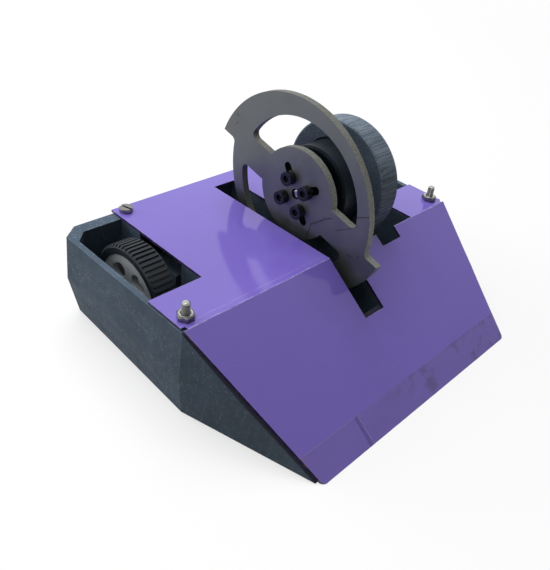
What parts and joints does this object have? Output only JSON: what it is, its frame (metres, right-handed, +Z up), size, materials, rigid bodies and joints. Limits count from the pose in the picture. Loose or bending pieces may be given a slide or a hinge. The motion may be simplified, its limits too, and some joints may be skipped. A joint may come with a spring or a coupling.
{
  "type": "combat robot",
  "caption": "Small wedge-fronted combat robot on driven wheels, with a steel disc that spins upright in a slot of its bent panel, turned by an outrunner on a round mount.",
  "frame": {"origin": "on the ground under the middle of the body's width and length", "axes": "+X to the robot's right, +Y to its rear, +Z up; the slope's edge is at the front, -Y"},
  "size_m": [0.147, 0.1232, 0.0865],
  "materials": {
    "printed_grey": "fine layer lines, slight sparkle",
    "printed_mount": "streaked layer lines",
    "purple_sheet": "glossy face, paler cut edges",
    "disc_steel": "mill finish with granular cut edges",
    "bell_black": "satin black anodised",
    "black_screw": "black oxide",
    "bright_steel": "zinc-plated",
    "shaft_steel": "ground",
    "tread_rubber": "ribbed",
    "rim_plastic": "moulded",
    "core_steel": "stacked sheet",
    "coil_copper": "enamelled winding",
    "magnet_plate": "nickel-plated",
    "base_metal": "turned",
    "gearbox_brass": "plain",
    "motor_can": "plated",
    "battery_wrap": "shrink sleeve",
    "circuit_board": "solder mask"
  },
  "bodies": {
    "tub": {"chassis": "printed_grey", "top_panel": "purple_sheet", "weapon_motor_mount": "printed_mount", "motor_base": "base_metal", "motor_bearings": "shaft_steel", "stator_core": "core_steel", "stator_coils": "coil_copper", "motor_base_screws": "black_screw", "mount_screws": "black_screw", "front_studs": "bright_steel", "front_nuts": "bright_steel", "rear_screws": "bright_steel", "left_gearbox": "gearbox_brass", "left_drive_motor": "motor_can", "left_motor_strap": "printed_grey", "right_gearbox": "gearbox_brass", "right_drive_motor": "motor_can", "right_motor_strap": "printed_grey", "strap_screws": "black_screw", "battery_pack": "battery_wrap", "weapon_speed_controller": "circuit_board", "drive_speed_controller": "circuit_board", "receiver": "circuit_board"},
    "weapon_rotor": {"weapon_disc": "disc_steel", "disc_screws": "black_screw", "motor_bell": "bell_black", "bell_magnets": "magnet_plate", "motor_shaft": "shaft_steel"},
    "left_wheel": {"left_tyre": "tread_rubber", "left_rim": "rim_plastic", "left_output_shaft": "shaft_steel"},
    "right_wheel": {"right_tyre": "tread_rubber", "right_rim": "rim_plastic", "right_output_shaft": "shaft_steel"}
  },
  "joints": [
    {"name": "weapon_spin", "type": "hinge", "parent": "tub", "child": "weapon_rotor", "pos_m": [0.00085, 0.0132, 0.0502], "axis": [1, 0, 0], "continuous": true},
    {"name": "left_wheel_spin", "type": "hinge", "parent": "tub", "child": "left_wheel", "pos_m": [-0.0592, 0.0311, 0.0195], "axis": [1, 0, 0], "continuous": true},
    {"name": "right_wheel_spin", "type": "hinge", "parent": "tub", "child": "right_wheel", "pos_m": [0.0592, 0.0311, 0.0195], "axis": [1, 0, 0], "continuous": true}
  ]
}
